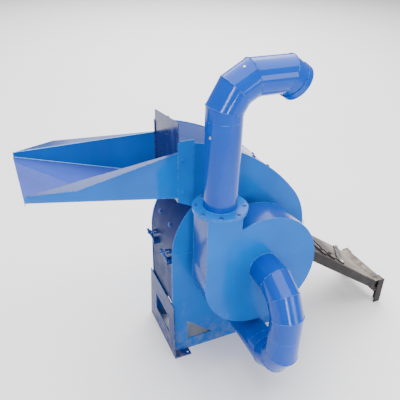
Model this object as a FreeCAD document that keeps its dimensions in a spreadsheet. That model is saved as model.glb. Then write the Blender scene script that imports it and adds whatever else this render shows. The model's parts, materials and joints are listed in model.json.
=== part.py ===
import FreeCAD, Part
import math
import os

import Sketcher

V = FreeCAD.Vector

# Hammer mill with a self-priming blower, in millimetres.
# X runs to the right, away from the feed chute. Y runs from the blower back to the belt pulley.
# Z is up from the floor. The origin is on the floor, under the middle of the rotor shaft,
# level with the outer face of the front housing plate.

SIZES = {
    # housing
    "drum_radius": 368, "axis_height": 643, "drum_depth": 300, "plate": 5, "rim_inset": 3,
    "rim_wall": 3, "rim_bottom": 345, "shaft_hole": 32, "port_height": 199,
    # stand
    "panel_top_out": 24, "panel_foot_out": 48, "window_front": 45, "window_back": 245,
    "window_low": 115, "window_high": 225, "corner_outer": 285, "corner_inner": 139,
    "corner_low": 72, "corner_high": 200, "foot_long": 88, "foot_wide": 46, "foot_thick": 6,
    "foot_hole": 7, "foot_hole_x": 294, "foot_hole_y": 28,
    # screen and collector
    "screen_inner": 332, "screen_wall": 3, "seat_high": 14, "seat_wide": 18, "funnel_half": 97,
    "funnel_low": 121, "sheet": 3, "hole_radius": 8,
    # blower casing
    "scroll_radius": 292, "scroll_x": -6, "scroll_z": 614, "casing_front": 230,
    "casing_back": 80, "outlet_left": -293, "outlet_right": -129, "outlet_top": 965,
    # pipes
    "pipe_radius": 75, "pipe_wall": 2, "pipe_x": -204, "pipe_y": -155, "flange_radius": 121,
    "flange_thick": 8, "flange_pitch": 106, "elbow_low": 1408, "mitre": 82, "elbow_run": 152,
    "spout_run": 68, "spout_drop": 36, "ring_wide": 26, "ring_wall": 4,
    "suction_reach": 335, "suction_mitre": 85,
    # rotor
    "shaft_radius": 22.5, "shaft_front": -185, "shaft_back": 452, "disc_radius": 240,
    "disc_thick": 8, "disc_pitch": 70, "disc_first": 41, "pin_circle": 215, "pin_radius": 10,
    "spacer_radius": 16, "hammer_long": 105, "hammer_half": 25, "hammer_thick": 6,
    "impeller_radius": 235, "blade_count": 6, "pulley_radius": 120, "pulley_wide": 62,
    "running_gap": 0.05,
    # bearings
    "bearing_front": -40, "bearing_rear": 345, "bearing_half": 25, "bearing_foot": 95,
    "bearing_drop": 54, "bearing_body": 48, "shelf_thick": 8, "shelf_half": 112,
    "bearing_bolt_x": 76,
    # cover, throat and gate
    "throat_x": -337, "throat_inner": -327, "throat_low": 941, "throat_corner_x": -262,
    "throat_corner_z": 903, "hood_x": -462, "hood_z": 282, "hood_radius": 954,
    "strip_wide": 75, "strip_thick": 4, "strip_top": 1232, "strip_round": 16,
    "gate_thick": 4, "gate_top_near": 1313, "gate_top_far": 1275, "gate_lift": 2,
    "gate_side": 3, "gate_hole": 11, "gate_hole_y": 142, "gate_hole_z": 1221,
    "guide_thick": 3, "guide_wide": 8, "liner_inner": 345,
    # feed chute
    "chute_end": -971, "chute_low": 963, "chute_rise": 153, "chute_roll": 15,
    "spread_near": 81, "spread_far": 100, "near_wall_in": 221, "near_wall_out": 26,
    "far_wall_in": 215, "far_wall_out": 22, "lip_in": 8, "lip_wide": 70, "lip_place": 0.71,
    "chute_fold": 14, "chute_sheet": 2.5,
    # hinge and latches
    "hinge_x": 390, "knuckle_radius": 11, "hinge_pin_radius": 6, "latch_x": -378,
    "latch_z": 600, "latch_front": 35, "latch_back": 222, "latch_lean": 24,
    "latch_shank": 6.5, "latch_pin": 4, "tab_low": 652, "tab_thick": 6, "tab_half": 17,
    # motor frame
    "frame_x": 376, "frame_top": 544, "frame_end": 955, "frame_end_top": 170,
    "frame_front": -100, "frame_back": 235, "rail_deep": 50, "beam_deep": 80, "beam_wide": 50,
    "rail_wide": 40, "rail_wall": 6,
}

doc = FreeCAD.newDocument("HammerMill")
sheet = doc.addObject("Spreadsheet::Sheet", "Dim")
for row, (alias, number) in enumerate(SIZES.items(), start=1):
    sheet.set("A%d" % row, alias)
    sheet.set("B%d" % row, str(number))
    sheet.setAlias("B%d" % row, alias)
doc.recompute()


class Size:
    """A number that also carries the spreadsheet expression it came from."""

    def __init__(self, number, text):
        self.number = float(number)
        self.text = text

    def __float__(self):
        return self.number

    def __add__(self, other):
        other = as_size(other)
        return Size(self.number + other.number, "(%s + %s)" % (self.text, other.text))

    def __sub__(self, other):
        other = as_size(other)
        return Size(self.number - other.number, "(%s - %s)" % (self.text, other.text))

    def __mul__(self, other):
        other = as_size(other)
        return Size(self.number * other.number, "(%s * %s)" % (self.text, other.text))

    def __truediv__(self, other):
        other = as_size(other)
        return Size(self.number / other.number, "(%s / %s)" % (self.text, other.text))

    def __neg__(self):
        return self * -1

    def __radd__(self, other):
        return as_size(other) + self

    def __rsub__(self, other):
        return as_size(other) - self

    def __rmul__(self, other):
        return as_size(other) * self


def as_size(value):
    return value if isinstance(value, Size) else Size(value, "(%.6f)" % value)


def size(alias):
    return Size(sheet.get(alias), "Dim." + alias)


class Sizes:
    """Gives every alias of the sheet as an attribute."""

    def __getattr__(self, alias):
        return size(alias)


S = Sizes()
NODES = []


def bind(obj, **sizes):
    for name, value in sizes.items():
        obj.setExpression(name, as_size(value).text)
    return obj


def place(obj, at, rotation=None):
    obj.Placement = FreeCAD.Placement(V(*[float(c) for c in at]), rotation or FreeCAD.Rotation())
    for letter, value in zip("xyz", at):
        obj.setExpression("Placement.Base." + letter, as_size(value).text)
    return obj


def node(label, obj):
    """Names a finished sub-part."""
    obj.Label = label
    NODES.append(obj)
    return obj


def block(at, long, deep, high, rotation=None):
    obj = doc.addObject("Part::Box", "Box")
    bind(obj, Length=long, Width=deep, Height=high)
    return place(obj, at, rotation)


AXES = {"X": V(1, 0, 0), "Y": V(0, 1, 0), "Z": V(0, 0, 1)}


def rod(at, axis, radius, length):
    obj = doc.addObject("Part::Cylinder", "Cylinder")
    bind(obj, Radius=radius, Height=length)
    direction = AXES[axis] if isinstance(axis, str) else axis
    return place(obj, at, FreeCAD.Rotation(V(0, 0, 1), direction))


def tube(at, axis, outer, inner, length):
    return cut(rod(at, axis, outer, length), rod(at, axis, inner, length))


def cut(base, *tools):
    for tool in tools:
        result = doc.addObject("Part::Cut", "Cut")
        result.Base = base
        result.Tool = tool
        result.Refine = True
        base = result
    return base


def fuse(*pieces):
    obj = doc.addObject("Part::MultiFuse", "Fuse")
    obj.Shapes = list(pieces)
    obj.Refine = True
    return obj


def common(first, second):
    obj = doc.addObject("Part::MultiCommon", "Common")
    obj.Shapes = [first, second]
    return obj


def group(*pieces):
    """Separate solids that share one node."""
    obj = doc.addObject("Part::Compound", "Group")
    obj.Links = list(pieces)
    return obj


def origin_plane(body, role):
    for feature in body.Origin.OriginFeatures:
        if feature.Role == role:
            return feature
    raise ValueError(role)


def plate(plane, outline, thick, offset=0, windows=()):
    """A flat plate: a sketch of straight lines on an origin plane, padded, then moved along
    the plane's normal. XZ outlines are (x, z), YZ outlines are (y, z), XY outlines are (x, y)."""
    body = doc.addObject("PartDesign::Body", "Body")
    sketch = body.newObject("Sketcher::SketchObject", "Sketch")
    sketch.AttachmentSupport = [(origin_plane(body, plane + "_Plane"), "")]
    sketch.MapMode = "FlatFace"
    for loop in [outline] + list(windows):
        draw_loop(sketch, loop)
    pad = body.newObject("PartDesign::Pad", "Pad")
    pad.Profile = sketch
    bind(pad, Length=thick)
    # The pad of an XZ sketch grows along -Y, so its solid ends at the offset.
    at = {"XZ": (0, offset, 0), "YZ": (offset, 0, 0), "XY": (0, 0, offset)}[plane]
    return place(body, at)


def draw_loop(sketch, loop):
    points = [V(float(a), float(b), 0) for a, b in loop]
    first = sketch.GeometryCount
    for index, point in enumerate(points):
        sketch.addGeometry(Part.LineSegment(point, points[(index + 1) % len(points)]))
    for index, corner in enumerate(loop):
        line = first + index
        last = first + (index - 1) % len(loop)
        sketch.addConstraint(Sketcher.Constraint("Coincident", last, 2, line, 1))
        for kind, value in zip(("DistanceX", "DistanceY"), corner):
            number = sketch.addConstraint(
                Sketcher.Constraint(kind, -1, 1, line, 1, float(value)))
            sketch.setExpression("Constraints[%d]" % number, as_size(value).text)


def turned(profile):
    """A solid of revolution about the Y axis: profile is (y, radius) in straight lines."""
    body = doc.addObject("PartDesign::Body", "Body")
    sketch = body.newObject("Sketcher::SketchObject", "Sketch")
    sketch.AttachmentSupport = [(origin_plane(body, "XY_Plane"), "")]
    sketch.MapMode = "FlatFace"
    draw_loop(sketch, [(radius, y) for y, radius in profile])
    turn = body.newObject("PartDesign::Revolution", "Revolution")
    turn.Profile = sketch
    turn.ReferenceAxis = (sketch, ["V_Axis"])
    turn.Angle = 360
    return place(body, (0, 0, S.axis_height))


def mitred(points, radius, wall):
    """A sheet-metal pipe of straight pieces cut at half the turn: a hollow sweep with sharp corners."""
    centres = [V(*[float(c) for c in p]) for p in points]
    path = Part.makePolygon(centres)
    direction = centres[1] - centres[0]

    def sweep(r):
        circle = Part.Wire(Part.makeCircle(r, centres[0], direction))
        return path.makePipeShell([circle], True, False, 1)

    obj = doc.addObject("Part::Feature", "Pipe")
    obj.Shape = sweep(float(radius)).cut(sweep(float(radius - wall)))
    return obj


def solid(shape):
    obj = doc.addObject("Part::Feature", "Solid")
    obj.Shape = shape
    return obj


def slab(corners, out):
    """A sheet: a flat polygon thickened along the vector out."""
    points = [V(*[float(c) for c in corner]) for corner in corners]
    face = Part.Face(Part.makePolygon(points + points[:1]))
    return solid(face.extrude(out))


def hexagon(at, axis, across, high):
    """A hexagonal bolt head or nut that grows from at along axis."""
    obj = doc.addObject("Part::Prism", "Hexagon")
    obj.Polygon = 6
    bind(obj, Circumradius=across, Height=high)
    direction = AXES[axis] if isinstance(axis, str) else axis
    return place(obj, at, FreeCAD.Rotation(V(0, 0, 1), direction))


def offset(at, direction, distance):
    return [c + d * distance for c, d in zip(at, direction)]


def bolt(head_at, direction, radius, grip, nut=True):
    """A bolt whose head sits at head_at, with its shank along direction and a nut at the end."""
    unit = V(*direction)
    pieces = [rod(head_at, unit, radius, grip + radius * 1.6),
              hexagon(head_at, -unit, radius * 1.8, radius * 1.3)]
    if nut:
        pieces.append(hexagon(offset(head_at, direction, grip), unit, radius * 1.8, radius * 1.3))
    return fuse(*pieces)


# Housing ---------------------------------------------------------------------------------

RIM = S.drum_radius - S.rim_inset


def mirrored_loop(loop):
    return [(-x, z) for x, z in loop]


def lower_plate(label, offset, port):
    """Lower half of an end plate, down to the floor, with a triangular window at each side."""
    window = [(-S.corner_outer, S.corner_low), (-S.corner_inner, S.corner_low),
              (-S.corner_outer, S.corner_high)]
    outline = [(-S.drum_radius, 0), (S.drum_radius, 0),
               (S.drum_radius, S.axis_height), (-S.drum_radius, S.axis_height)]
    body = plate("XZ", outline, S.plate, offset, [window, mirrored_loop(window)])
    tools = [rod((0, offset - S.plate, S.axis_height), "Y", S.shaft_hole, S.plate)]
    if port:
        tools.append(rod((0, offset - S.plate, S.port_height), "Y",
                         S.pipe_radius - S.pipe_wall, S.plate))
    return node(label, cut(body, *tools))


def lower_rim_sheets():
    high = S.axis_height - S.rim_bottom
    deep = S.drum_depth - S.plate * 2
    left = block((-RIM, S.plate, S.rim_bottom), S.rim_wall, deep, high)
    right = block((RIM - S.rim_wall, S.plate, S.rim_bottom), S.rim_wall, deep, high)
    return node("lower_rim_sheets", group(left, right))


def stand_side_panels():
    outline = [(-S.panel_foot_out, 0), (S.drum_depth + S.panel_foot_out, 0),
               (S.drum_depth + S.panel_top_out, S.rim_bottom), (-S.panel_top_out, S.rim_bottom)]
    window = [(S.window_front, S.window_low), (S.window_back, S.window_low),
              (S.window_back, S.window_high), (S.window_front, S.window_high)]
    sides = [plate("YZ", outline, S.plate, x, [window])
             for x in (-S.drum_radius - S.plate, S.drum_radius)]
    return node("stand_side_panels", group(*sides))


def foot_plates():
    feet = []
    for side in (-1, 1):
        for y, hole_y in ((-S.foot_wide, -S.foot_hole_y),
                          (S.drum_depth, S.drum_depth + S.foot_hole_y)):
            x = -S.drum_radius if side < 0 else S.drum_radius - S.foot_long
            foot = block((x, y, 0), S.foot_long, S.foot_wide, S.foot_thick)
            hole = rod((S.foot_hole_x * side, hole_y, 0), "Z", S.foot_hole, S.foot_thick)
            feet.append(cut(foot, hole))
    return node("foot_plates", group(*feet))


def collector_funnel():
    """Two sloped sheets and a floor lead the meal down to the suction port."""
    top = float(RIM - S.rim_wall)
    low, high = float(S.funnel_low), float(S.rim_bottom)
    half, y0, y1 = float(S.funnel_half), float(S.plate), float(S.drum_depth - S.plate)
    wall = float(S.sheet)
    pieces = []
    for side in (-1, 1):
        points = [V(side * half, y0, low), V(side * top, y0, high),
                  V(side * top, y0, high + wall * 1.3), V(side * half, y0, low + wall * 1.3)]
        face = Part.Face(Part.makePolygon(points + points[:1]))
        pieces.append(face.extrude(V(0, y1 - y0, 0)))
    floor = Part.makeBox(half * 2, y1 - y0, wall, V(-half, y0, low))
    return node("collector_funnel", solid(pieces[0].fuse([pieces[1], floor]).removeSplitter()))


def screen():
    """Half-round perforated sheet under the rotor."""
    y0 = float(S.plate)
    deep = float(S.drum_depth) - 2 * y0
    inner, wall = float(S.screen_inner), float(S.screen_wall)
    centre = V(0, y0, float(S.axis_height))
    axis = V(0, 1, 0)
    ring = Part.makeCylinder(inner + wall, deep, centre, axis).cut(
        Part.makeCylinder(inner, deep, centre, axis))
    reach = inner + wall + 1
    below = Part.makeBox(2 * reach, deep, reach, V(-reach, y0, float(S.axis_height) - reach))
    half = ring.common(below)
    holes = []
    rows, columns = 16, 7
    for row in range(rows):
        angle = math.radians(180 + (row + 0.5) * 180 / rows)
        way = V(math.cos(angle), 0, math.sin(angle))
        for column in range(columns):
            start = V(0, y0 + (column + 1) * deep / (columns + 1), float(S.axis_height))
            holes.append(Part.makeCylinder(float(S.hole_radius), 3 * wall,
                                           start + way * (inner - wall), way))
    return node("screen", solid(half.cut(holes)))


def screen_seats():
    """Two arcs that hold the screen's edges and two bars that close the gap to the rim."""
    outer = S.screen_inner + S.screen_wall
    seats = []
    for y in (S.plate, S.drum_depth - S.plate - S.seat_wide):
        ring = tube((0, y, S.axis_height), "Y", outer + S.seat_high, outer, S.seat_wide)
        reach = outer + S.seat_high
        below = block((-reach, y, S.axis_height - reach), reach * 2, S.seat_wide, reach)
        seats.append(common(ring, below))
    gap = RIM - S.rim_wall - outer - S.seat_high
    deep = S.drum_depth - S.plate * 2
    for x in (-(RIM - S.rim_wall), outer + S.seat_high):
        seats.append(block((x, S.plate, S.axis_height - S.seat_high), gap, deep, S.seat_high))
    return node("screen_seats", group(*seats))


# Blower ------------------------------------------------------------------------------------

CASING_BACK = -S.casing_back
CASING_FRONT = -S.casing_front


def casing_outline(y, thick, inset):
    """Round scroll with the outlet tower on its left, flat, from y to y + thick."""
    wheel = rod((S.scroll_x, y, S.scroll_z), "Y", S.scroll_radius - inset, thick)
    tower = block((S.outlet_left + inset, y, S.scroll_z), S.outlet_right - S.outlet_left - inset * 2,
                  thick, S.outlet_top - S.scroll_z)
    return fuse(wheel, tower)


def blower_casing():
    wall = S.sheet
    front = cut(casing_outline(CASING_FRONT, wall, 0),
                rod((0, CASING_FRONT, S.axis_height), "Y", S.pipe_radius - S.pipe_wall, wall))
    node("blower_front_plate", front)
    back = cut(casing_outline(CASING_BACK - wall, wall, 0),
               rod((0, CASING_BACK - wall, S.axis_height), "Y", S.shaft_hole, wall))
    node("blower_back_plate", back)
    inside = CASING_BACK - CASING_FRONT - wall * 2
    node("blower_scroll", cut(casing_outline(CASING_FRONT + wall, inside, 0),
                              casing_outline(CASING_FRONT + wall, inside, wall)))


def blower_standoffs():
    """Tubes that carry the blower casing in front of the housing."""
    pieces = []
    for degrees in (197, 232, 308, 343):
        angle = math.radians(degrees)
        x = S.scroll_x + (S.scroll_radius - 50) * math.cos(angle)
        z = S.scroll_z + (S.scroll_radius - 50) * math.sin(angle)
        pieces.append(tube((x, CASING_BACK, z), "Y", 14, 6, S.casing_back))
    return node("blower_standoffs", group(*pieces))


# Pipes -------------------------------------------------------------------------------------

FLANGE_BOLTS = 8


def flange_ring(label, z, bore):
    at = (S.pipe_x, S.pipe_y, z)
    ring = tube(at, "Z", S.flange_radius, bore, S.flange_thick)
    holes = []
    for index in range(FLANGE_BOLTS):
        angle = math.radians(22.5 + index * 360 / FLANGE_BOLTS)
        holes.append(rod((S.pipe_x + S.flange_pitch * math.cos(angle),
                          S.pipe_y + S.flange_pitch * math.sin(angle), z), "Z", 4.5, S.flange_thick))
    return node(label, cut(ring, *holes))


def flange_bolts():
    bolts = []
    for index in range(FLANGE_BOLTS):
        angle = math.radians(22.5 + index * 360 / FLANGE_BOLTS)
        at = (S.pipe_x + S.flange_pitch * math.cos(angle),
              S.pipe_y + S.flange_pitch * math.sin(angle),
              S.outlet_top + S.flange_thick * 2)
        bolts.append(bolt(at, (0, 0, -1), 4, float(S.flange_thick * 2)))
    return node("flange_bolts", group(*bolts))


def elbow_points():
    """Centre line of the mitred elbow: 30 degrees more at each joint, then level, then the spout."""
    step = S.mitre
    x, z = S.pipe_x, S.elbow_low
    points = [(x, z)]
    for degrees, run in ((30, step), (60, step), (90, S.elbow_run),
                         (90 + float(S.spout_drop), S.spout_run)):
        lean = math.radians(degrees)
        x = x + run * math.sin(lean)
        z = z + run * math.cos(lean)
        points.append((x, z))
    return [(x, S.pipe_y, z) for x, z in points]


def discharge_pipes():
    bottom = S.outlet_top + S.flange_thick
    node("discharge_pipe", tube((S.pipe_x, S.pipe_y, bottom), "Z", S.pipe_radius,
                                S.pipe_radius - S.pipe_wall, S.elbow_low - 40 - bottom))
    points = elbow_points()
    start = (S.pipe_x, S.pipe_y, S.elbow_low - 40)
    node("discharge_elbow", mitred([start] + points, S.pipe_radius, S.pipe_wall))
    end = V(*[float(c) for c in points[-1]])
    before = V(*[float(c) for c in points[-2]])
    along = (end - before).normalize()
    base = end - along * float(S.ring_wide)
    outer = float(S.pipe_radius + S.ring_wall)
    ring = Part.makeCylinder(outer, float(S.ring_wide), base, along).cut(
        Part.makeCylinder(float(S.pipe_radius), float(S.ring_wide), base, along))
    node("spout_ring", solid(ring))


def suction_pipes():
    """U-shaped mitred pipe from the blower's inlet, forward, down and back into the collector."""
    step = float(S.suction_mitre)
    lean = math.radians(30)
    reach, top, low = -float(S.suction_reach), float(S.axis_height), float(S.port_height)
    side, drop = step * math.cos(lean), step * math.sin(lean)
    front = reach - side - drop
    middle = (top + low) / 2
    upper = [(-float(S.casing_front), top), (reach, top), (reach - side, top - drop),
             (front, top - drop - side), (front, middle)]
    lower = [(front, middle), (front, low + drop + side), (reach - side, low + drop),
             (reach, low), (reach + 60, low)]
    node("suction_top_bend", mitred([(0, y, z) for y, z in upper], S.pipe_radius, S.pipe_wall))
    node("suction_bottom_bend", mitred([(0, y, z) for y, z in lower], S.pipe_radius, S.pipe_wall))
    leg_start = -S.suction_reach + 60
    node("suction_return_leg", tube((0, leg_start, S.port_height), "Y", S.pipe_radius,
                                    S.pipe_radius - S.pipe_wall, -leg_start))


# Bearings and rotor --------------------------------------------------------------------------

def bearing_housing(y):
    """Pillow block: foot, round body, and a bore for the shaft."""
    foot_z = S.axis_height - S.bearing_drop
    foot = block((-S.bearing_foot, y - S.bearing_half, foot_z), S.bearing_foot * 2,
                 S.bearing_half * 2, 16)
    web = block((-S.bearing_body, y - 19, foot_z), S.bearing_body * 2, 38, S.bearing_drop)
    body = rod((0, y - 19, S.axis_height), "Y", S.bearing_body, 38)
    bore = rod((0, y - S.bearing_half, S.axis_height), "Y", S.shaft_radius + S.running_gap,
               S.bearing_half * 2)
    holes = [rod((x, y, foot_z), "Z", 6.5, 16) for x in (-S.bearing_bolt_x, S.bearing_bolt_x)]
    return cut(fuse(foot, web, body), bore, *holes)


def bearing_bracket(y_wall, y_bearing, toward):
    """Shelf welded to an end plate, with two triangular gussets under it."""
    shelf_top = S.axis_height - S.bearing_drop
    deep = S.bearing_half * 2 + 12
    y0 = y_wall if toward > 0 else y_wall - deep
    shelf = block((-S.shelf_half, y0, shelf_top - S.shelf_thick), S.shelf_half * 2, deep,
                  S.shelf_thick)
    holes = [rod((x, y_bearing, shelf_top - S.shelf_thick), "Z", 6.5, S.shelf_thick)
             for x in (-S.bearing_bolt_x, S.bearing_bolt_x)]
    under = shelf_top - S.shelf_thick
    reach = (deep - 8) * toward
    pieces = [shelf]
    for x in (-S.shelf_half, S.shelf_half - S.shelf_thick):
        outline = [(y_wall, under), (y_wall + reach, under), (y_wall, under - 58)]
        pieces.append(plate("YZ", outline, S.shelf_thick, x))
    return cut(fuse(*pieces), *holes)


def bearings():
    shelf_low = S.axis_height - S.bearing_drop - S.shelf_thick
    node("bearing_brackets", group(bearing_bracket(0, S.bearing_front, -1),
                                   bearing_bracket(S.drum_depth, S.bearing_rear, 1)))
    node("bearing_housings", group(bearing_housing(S.bearing_front),
                                   bearing_housing(S.bearing_rear)))
    bolts = []
    for y in (S.bearing_front, S.bearing_rear):
        for x in (-S.bearing_bolt_x, S.bearing_bolt_x):
            bolts.append(bolt((x, y, shelf_low + S.shelf_thick + 16), (0, 0, -1), 6,
                              float(S.shelf_thick + 16)))
    node("bearing_bolts", group(*bolts))


def shaft():
    shaft_end = S.shaft_radius - 1
    profile = [(S.shaft_front, 0), (S.shaft_front, shaft_end), (S.shaft_front + 1, S.shaft_radius),
               (S.shaft_back - 1, S.shaft_radius), (S.shaft_back, shaft_end), (S.shaft_back, 0)]
    return node("rotor_shaft", turned(profile))


def disc_start(index):
    return S.disc_first + S.disc_pitch * index


PIN_ANGLES = (45, 135, 225, 315)
DISCS = 4


def pin_place(degrees):
    angle = math.radians(degrees)
    return (S.pin_circle * math.cos(angle), S.axis_height + S.pin_circle * math.sin(angle))


def rotor_discs():
    """Four hammer discs, and a slinger disc behind each shaft hole of the housing."""
    discs = []
    for index in range(DISCS):
        y = disc_start(index)
        holes = [rod((x, y, z), "Y", S.pin_radius, S.disc_thick)
                 for x, z in map(pin_place, PIN_ANGLES)]
        disc = tube((0, y, S.axis_height), "Y", S.disc_radius, S.shaft_radius, S.disc_thick)
        discs.append(cut(disc, *holes))
    for y in (S.plate + 4, S.drum_depth - S.plate - 8):
        discs.append(tube((0, y, S.axis_height), "Y", 60, S.shaft_radius, 4))
    return node("rotor_discs", group(*discs))


def hammer_starts():
    """Two hammers in each gap between discs."""
    gap = S.disc_pitch - S.disc_thick
    starts = []
    for index in range(DISCS - 1):
        first = disc_start(index) + S.disc_thick
        starts.append(first + gap / 3 - S.hammer_thick / 2)
        starts.append(first + gap * 2 / 3 - S.hammer_thick / 2)
    return starts


def hammer_pins():
    """Four pins through the discs, with loose sleeves that space the hammers."""
    pieces = []
    play = 0.5
    for degrees in PIN_ANGLES:
        x, z = pin_place(degrees)
        start = S.disc_first - 6
        last = disc_start(DISCS - 1) + S.disc_thick + 6
        pieces.append(rod((x, start, z), "Y", S.pin_radius, last - start))
        for index in range(DISCS - 1):
            stops = [disc_start(index) + S.disc_thick]
            for hammer in hammer_starts()[index * 2:index * 2 + 2]:
                stops += [hammer - play, hammer + S.hammer_thick + play]
            stops.append(disc_start(index + 1))
            for low, high in zip(stops[0::2], stops[1::2]):
                pieces.append(tube((x, low, z), "Y", S.spacer_radius, S.pin_radius, high - low))
    return node("hammer_pins", group(*pieces))


def hammer_row(label, degrees):
    """Swinging hammers on one pin, stored hanging down."""
    x, z = pin_place(degrees)
    hammers = []
    for y in hammer_starts():
        blade = block((x - S.hammer_half, y, z - S.hammer_long), S.hammer_half * 2, S.hammer_thick,
                      S.hammer_long)
        head = rod((x, y, z), "Y", S.hammer_half, S.hammer_thick)
        bore = rod((x, y, z), "Y", S.pin_radius + S.running_gap, S.hammer_thick)
        hammers.append(cut(fuse(blade, head), bore))
    return node(label, group(*hammers))


def impeller():
    """Back disc, hub and straight blades of the blower."""
    back = CASING_BACK - S.sheet - 12
    disc = rod((0, back - 5, S.axis_height), "Y", S.impeller_radius, 5)
    hub = rod((0, back - 75, S.axis_height), "Y", 46, 75)
    blades = []
    for index in range(int(float(S.blade_count))):
        turn = FreeCAD.Rotation(V(0, 1, 0), index * 360 / float(S.blade_count))
        corner = turn.multVec(V(40, 0, -2.5))
        blades.append(block((corner.x, back - 105, S.axis_height + corner.z),
                            S.impeller_radius - 41, 101, 5, turn))
    bore = rod((0, back - 106, S.axis_height), "Y", S.shaft_radius, 107)
    return node("blower_impeller", cut(fuse(disc, hub, *blades), bore))


def pulley():
    """Three-groove belt pulley."""
    start = S.shaft_back - S.pulley_wide - 4
    rim, root = S.pulley_radius, S.pulley_radius - 14
    profile = [(start, S.shaft_radius), (start, rim)]
    y = start + 4
    for _ in range(3):
        profile += [(y, rim), (y + 5, root), (y + 11, root), (y + 16, rim)]
        y = y + 19
    end = start + S.pulley_wide
    profile += [(end, rim), (end, S.shaft_radius)]
    return node("belt_pulley", turned(profile))


# Cover, throat and gate ----------------------------------------------------------------------

def half_disc(y, thick, radius):
    wheel = rod((0, y, S.axis_height), "Y", radius, thick)
    above = block((-S.drum_radius, y, S.axis_height), S.drum_radius * 2, thick, S.drum_radius)
    return common(wheel, above)


RIM_OPEN = (38, 135)
LINER_BOLTS = [(angle, y) for angle in (20, 160) for y in (90, 225)]
HOOD_BOLTS = [(angle, y) for angle in (48.7, 55) for y in (75, 225)]


def throat_area(y, thick, radius):
    """Side view of the throat: from the gate's slot, under the hood, to where the hood meets the drum."""
    meeting = math.radians(RIM_OPEN[0])
    reach = 500
    right = reach * math.cos(meeting)
    corners = [(S.throat_inner, S.throat_low), (S.throat_corner_x, S.throat_corner_z),
               (0, S.axis_height), (right, S.axis_height + reach * math.sin(meeting)),
               (right, S.strip_top), (S.throat_inner, S.strip_top)]
    body = plate("XZ", corners, thick, y + thick)
    return common(body, rod((S.hood_x, y, S.hood_z), "Y", radius, thick))


def cover_plate(label, y):
    area = fuse(half_disc(y, S.plate, S.drum_radius), throat_area(y, S.plate, S.hood_radius))
    return node(label, cut(area, rod((0, y, S.axis_height), "Y", S.shaft_hole, S.plate)))


def arc_sheet(outer, inner, spans, y0, y1):
    """Curved sheets about the shaft axis, each over a span of degrees."""
    centre = V(0, y0, float(S.axis_height))
    pieces = []
    for low, high in spans:
        edges = []
        for radius in (float(outer), float(inner)):
            p = [centre + V(math.cos(math.radians(a)), 0, math.sin(math.radians(a))) * radius
                 for a in (low, (low + high) / 2, high)]
            edges.append((p, Part.Arc(*p).toShape()))
        (po, outer_arc), (pi, inner_arc) = edges
        wire = Part.Wire([outer_arc, Part.makeLine(po[2], pi[2]), inner_arc,
                          Part.makeLine(pi[0], po[0])])
        pieces.append(Part.Face(wire).extrude(V(0, y1 - y0, 0)))
    return pieces


def bolt_holes(radius):
    holes = []
    for degrees, y in LINER_BOLTS:
        way = V(math.cos(math.radians(degrees)), 0, math.sin(math.radians(degrees)))
        start = V(0, y, float(S.axis_height)) + way * 320
        holes.append(Part.makeCylinder(radius, 80, start, way))
    return holes


def cover_rim_and_liner():
    y0, y1 = float(S.plate), float(S.drum_depth - S.plate)
    spans = ((0, RIM_OPEN[0]), (RIM_OPEN[1], 180))
    rims = arc_sheet(RIM, RIM - S.rim_wall, spans, y0, y1)
    node("cover_rim", solid(Part.makeCompound([r.cut(bolt_holes(5.2)) for r in rims])))
    outer = RIM - S.rim_wall
    liners = arc_sheet(outer, S.liner_inner, ((1, RIM_OPEN[0] - 2), (RIM_OPEN[1] + 2, 179)),
                       y0 + 1, y1 - 1)
    grooves = []
    pitch = 4
    for step in range(int(180 / pitch)):
        angle = math.radians(step * pitch + pitch / 2)
        centre = V(math.cos(angle), 0, math.sin(angle)) * float(S.liner_inner)
        grooves.append(Part.makeCylinder(6, y1 - y0, centre + V(0, y0, float(S.axis_height)),
                                         V(0, 1, 0)))
    liners = [piece.cut(grooves).cut(bolt_holes(5.2)) for piece in liners]
    node("cover_liner", solid(Part.makeCompound(liners)))


def bolt_on_arc(centre, radius, degrees, y, grip, nut):
    """A bolt driven inwards through a curved sheet."""
    angle = math.radians(degrees)
    way = (math.cos(angle), 0, math.sin(angle))
    at = offset((centre[0], y, centre[1]), way, radius)
    return bolt(at, [-c for c in way], 5, grip, nut)


def liner_bolts():
    bolts = [bolt_on_arc((0, S.axis_height), RIM, degrees, y, 8, False) for degrees, y in LINER_BOLTS]
    hood = S.hood_radius - S.rim_inset
    bolts += [bolt_on_arc((S.hood_x, S.hood_z), hood, degrees, y, 3, True) for degrees, y in HOOD_BOLTS]
    return node("liner_bolts", group(*bolts))


def throat_sheets():
    """Curved hood over the throat and the sloping sheet under it."""
    y0, deep = S.plate, S.drum_depth - S.plate * 2
    outer = S.hood_radius - S.rim_inset
    shell = cut(throat_area(y0, deep, outer), throat_area(y0, deep, outer - S.rim_wall))
    holes = []
    for degrees, y in HOOD_BOLTS:
        angle = math.radians(degrees)
        way = (math.cos(angle), 0, math.sin(angle))
        start = offset((S.hood_x, y, S.hood_z), way, outer - 20)
        holes.append(rod(start, V(*way), 5.2, 40))
    floor = slab([(S.throat_inner, y0, S.throat_low), (S.throat_corner_x, y0, S.throat_corner_z),
                  (S.throat_corner_x - 2, y0, S.throat_corner_z - 3.5),
                  (S.throat_inner, y0, S.throat_low - 4)], V(0, float(deep), 0))
    return node("throat_sheets", group(cut(shell, *holes), floor))


def throat_strips():
    """Bent strips riveted along both sides of the throat, rounded at the top corner."""
    strips = []
    left, right, top = S.throat_x, S.throat_x + S.strip_wide, S.strip_top
    corners = [(left, S.throat_low), (right, S.throat_corner_z), (right, top)]
    for degrees in range(90, 181, 15):
        angle = math.radians(degrees)
        corners.append((left + S.strip_round * (1 + math.cos(angle)),
                        top - S.strip_round * (1 - math.sin(angle))))
    for y in (0, S.drum_depth + S.strip_thick):
        strips.append(plate("XZ", corners, S.strip_thick, y))
    return node("throat_strips", group(*strips))


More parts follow.
